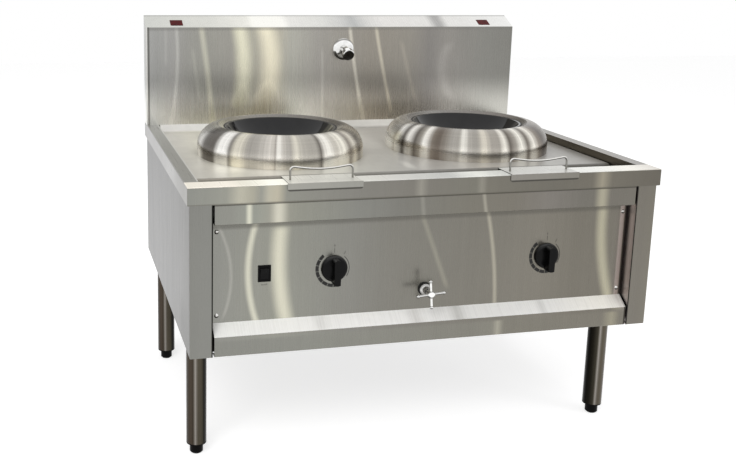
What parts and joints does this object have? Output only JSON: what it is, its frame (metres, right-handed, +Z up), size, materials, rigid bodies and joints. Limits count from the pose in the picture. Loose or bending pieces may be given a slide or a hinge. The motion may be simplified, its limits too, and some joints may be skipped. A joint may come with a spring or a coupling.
{
  "type": "wok range",
  "caption": "Free-standing double wok range with induction bowls, front gutter with lift-out strainers, splashback spout and front tap on tube legs.",
  "frame": {"origin": "on the floor under the middle of the bounding box", "axes": "+X to the right seen from the front, +Y to the back, +Z up"},
  "size_m": [1.2, 0.912, 1.052],
  "materials": {
    "brushed_steel": "brushed, satin",
    "polished_steel": "polished",
    "leg_steel": "satin tube",
    "black_ceramic": "glossy",
    "seal_rubber": "matte",
    "carrier_aluminium": "cast",
    "coil_winding": "lacquered wire",
    "black_plastic": "moulded, satin",
    "red_glass": "glossy",
    "board_plastic": "matte",
    "chrome": "polished",
    "brass": "plated",
    "pipe_steel": "drawn"
  },
  "bodies": {
    "range": {"top_frame": "brushed_steel", "deck_plate": "brushed_steel", "gutter_channel": "brushed_steel", "splash_casing": "brushed_steel", "splash_rear_cover": "brushed_steel", "fascia_panel": "brushed_steel", "top_band": "brushed_steel", "pillar_left": "brushed_steel", "pillar_right": "brushed_steel", "side_panel_left": "brushed_steel", "side_panel_right": "brushed_steel", "rear_panel": "brushed_steel", "base_pan": "brushed_steel", "panel_screws": "brushed_steel", "wok_ring_left": "polished_steel", "wok_ring_right": "polished_steel", "leg_sockets": "polished_steel", "leg_front_left": "leg_steel", "leg_front_right": "leg_steel", "leg_rear_left": "leg_steel", "leg_rear_right": "leg_steel", "ceramic_bowl_left": "black_ceramic", "ceramic_bowl_right": "black_ceramic", "bowl_seals": "seal_rubber", "tap_gasket": "seal_rubber", "coil_carrier_left": "carrier_aluminium", "coil_carrier_right": "carrier_aluminium", "inverter_left": "carrier_aluminium", "inverter_right": "carrier_aluminium", "induction_coils": "coil_winding", "switch_housing": "black_plastic", "foot_inserts": "black_plastic", "fan_frames": "black_plastic", "cable_gland": "black_plastic", "power_controls": "black_plastic", "display_lenses": "red_glass", "display_boards": "board_plastic", "spout_flange": "chrome", "spout_elbow": "chrome", "spout_nozzle": "chrome", "tap_valve": "brass", "riser_pipe": "pipe_steel", "supply_pipe": "pipe_steel", "drain_pipe": "pipe_steel"},
    "knob_left": {"knob_left": "black_plastic", "knob_spindle_left": "pipe_steel"},
    "strainer_left": {"strainer_left": "brushed_steel", "strainer_handle_left": "polished_steel"},
    "fan_rotor_left": {"fan_rotor_left": "black_plastic"},
    "knob_right": {"knob_right": "black_plastic", "knob_spindle_right": "pipe_steel"},
    "strainer_right": {"strainer_right": "brushed_steel", "strainer_handle_right": "polished_steel"},
    "fan_rotor_right": {"fan_rotor_right": "black_plastic"},
    "switch_rocker": {"switch_rocker": "black_plastic"},
    "tap_handle": {"tap_handle": "chrome"},
    "foot_front_left": {"foot_front_left": "black_plastic"},
    "foot_front_right": {"foot_front_right": "black_plastic"},
    "foot_rear_left": {"foot_rear_left": "black_plastic"},
    "foot_rear_right": {"foot_rear_right": "black_plastic"}
  },
  "joints": [
    {"name": "knob_left_turn", "type": "hinge", "parent": "range", "child": "knob_left", "pos_m": [-0.24, -0.406, 0.501], "axis": [0, 1, 0], "range_deg": [0, 270]},
    {"name": "knob_right_turn", "type": "hinge", "parent": "range", "child": "knob_right", "pos_m": [0.318, -0.406, 0.501], "axis": [0, 1, 0], "range_deg": [0, 270]},
    {"name": "switch_rock", "type": "hinge", "parent": "range", "child": "switch_rocker", "pos_m": [-0.4115, -0.401, 0.499], "axis": [-1, 0, 0], "range_deg": [0, 16]},
    {"name": "tap_turn", "type": "hinge", "parent": "range", "child": "tap_handle", "pos_m": [-0.007, -0.406, 0.435], "axis": [0, -1, 0], "range_deg": [0, 180]},
    {"name": "strainer_left_lift", "type": "slide", "parent": "range", "child": "strainer_left", "axis": [0, 0, 1], "range_m": [0, 0.12]},
    {"name": "strainer_right_lift", "type": "slide", "parent": "range", "child": "strainer_right", "axis": [0, 0, 1], "range_m": [0, 0.12]},
    {"name": "foot_front_left_level", "type": "slide", "parent": "range", "child": "foot_front_left", "axis": [0, 0, -1], "range_m": [0, 0.025]},
    {"name": "foot_front_right_level", "type": "slide", "parent": "range", "child": "foot_front_right", "axis": [0, 0, -1], "range_m": [0, 0.025]},
    {"name": "foot_rear_left_level", "type": "slide", "parent": "range", "child": "foot_rear_left", "axis": [0, 0, -1], "range_m": [0, 0.025]},
    {"name": "foot_rear_right_level", "type": "slide", "parent": "range", "child": "foot_rear_right", "axis": [0, 0, -1], "range_m": [0, 0.025]},
    {"name": "fan_left_spin", "type": "hinge", "parent": "range", "child": "fan_rotor_left", "pos_m": [-0.3, 0.146, 0.33], "axis": [0, 0, 1], "continuous": true},
    {"name": "fan_right_spin", "type": "hinge", "parent": "range", "child": "fan_rotor_right", "pos_m": [0.3, 0.146, 0.33], "axis": [0, 0, 1], "continuous": true}
  ]
}
